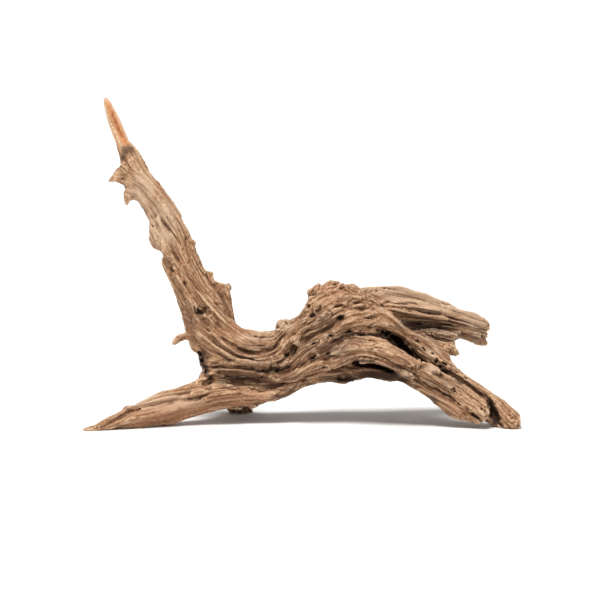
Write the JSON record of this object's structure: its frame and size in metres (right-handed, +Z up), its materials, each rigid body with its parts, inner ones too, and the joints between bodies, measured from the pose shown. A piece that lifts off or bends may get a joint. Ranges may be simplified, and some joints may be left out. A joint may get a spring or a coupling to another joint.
{
  "type": "horn driftwood",
  "caption": "Weathered driftwood with a tall spiked horn, a long root, a knobbly burl, a thick branch and a split leg, lying on its low root ends.",
  "frame": {"origin": "middle of the box round the wood, on the surface that it stands on", "axes": "+Z up, +X from the horn and the root's tip towards the branch and the leg, +Y to the back, away from the root's tip and the leg's foot"},
  "size_m": [0.4588, 0.1602, 0.3473],
  "materials": {
    "driftwood": "dry weathered grain, matt, pinkish brown with darker grooves and a bare orange-cream spike"
  },
  "bodies": {
    "root": {"driftwood": "driftwood"}
  },
  "joints": []
}
